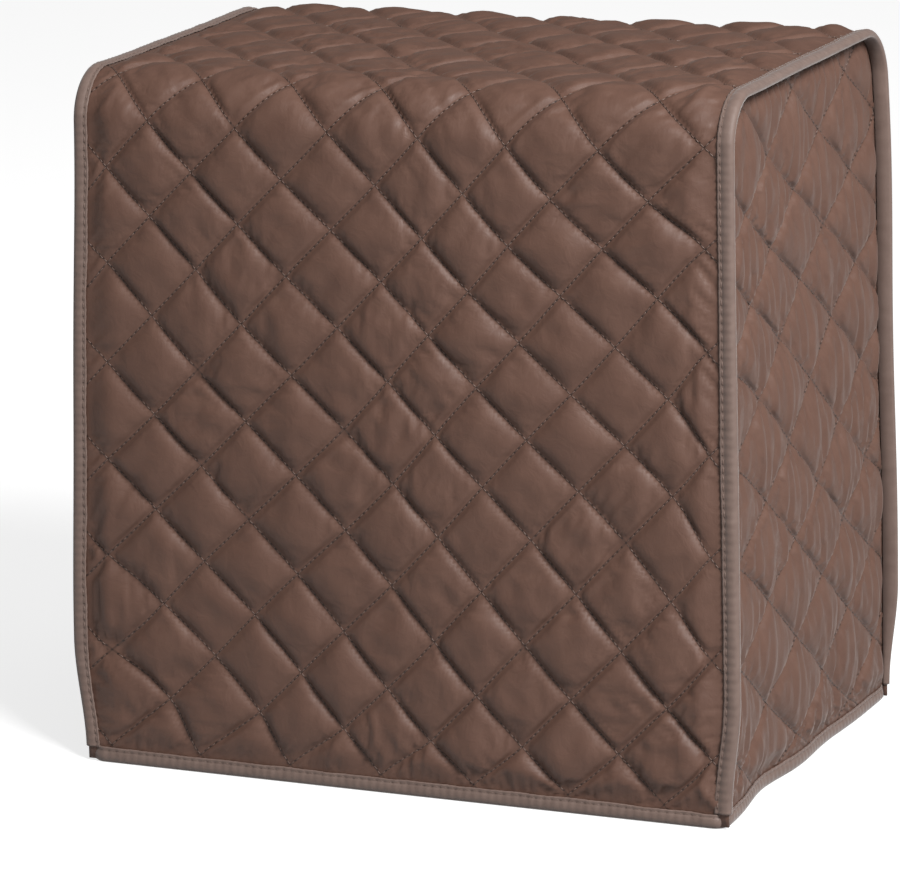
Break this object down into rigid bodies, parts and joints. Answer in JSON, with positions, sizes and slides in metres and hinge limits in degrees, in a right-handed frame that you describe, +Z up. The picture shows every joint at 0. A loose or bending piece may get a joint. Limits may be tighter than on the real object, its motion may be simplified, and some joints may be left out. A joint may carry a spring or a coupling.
{
  "type": "quilted blender cover",
  "caption": "Box-shaped quilted cloth cover with rounded top folds, bound side seams and a bound hem; open below, it drops over a countertop blender.",
  "frame": {"origin": "on the surface the hem rests on, under the middle of the cover", "axes": "+Z up, -Y towards the front panel, +X towards the right side panel"},
  "size_m": [0.3947, 0.2688, 0.3939],
  "materials": {
    "quilted_cloth": "diamond-quilted polyester with wadding, matte satin, dark taupe",
    "binding_tape": "plain folded polyester tape, matte, dark taupe"
  },
  "bodies": {
    "root": {"main_panel": "quilted_cloth", "side_panel_right": "quilted_cloth", "side_panel_left": "quilted_cloth", "seam_binding_right": "binding_tape", "seam_binding_left": "binding_tape", "hem_binding": "binding_tape"}
  },
  "joints": []
}
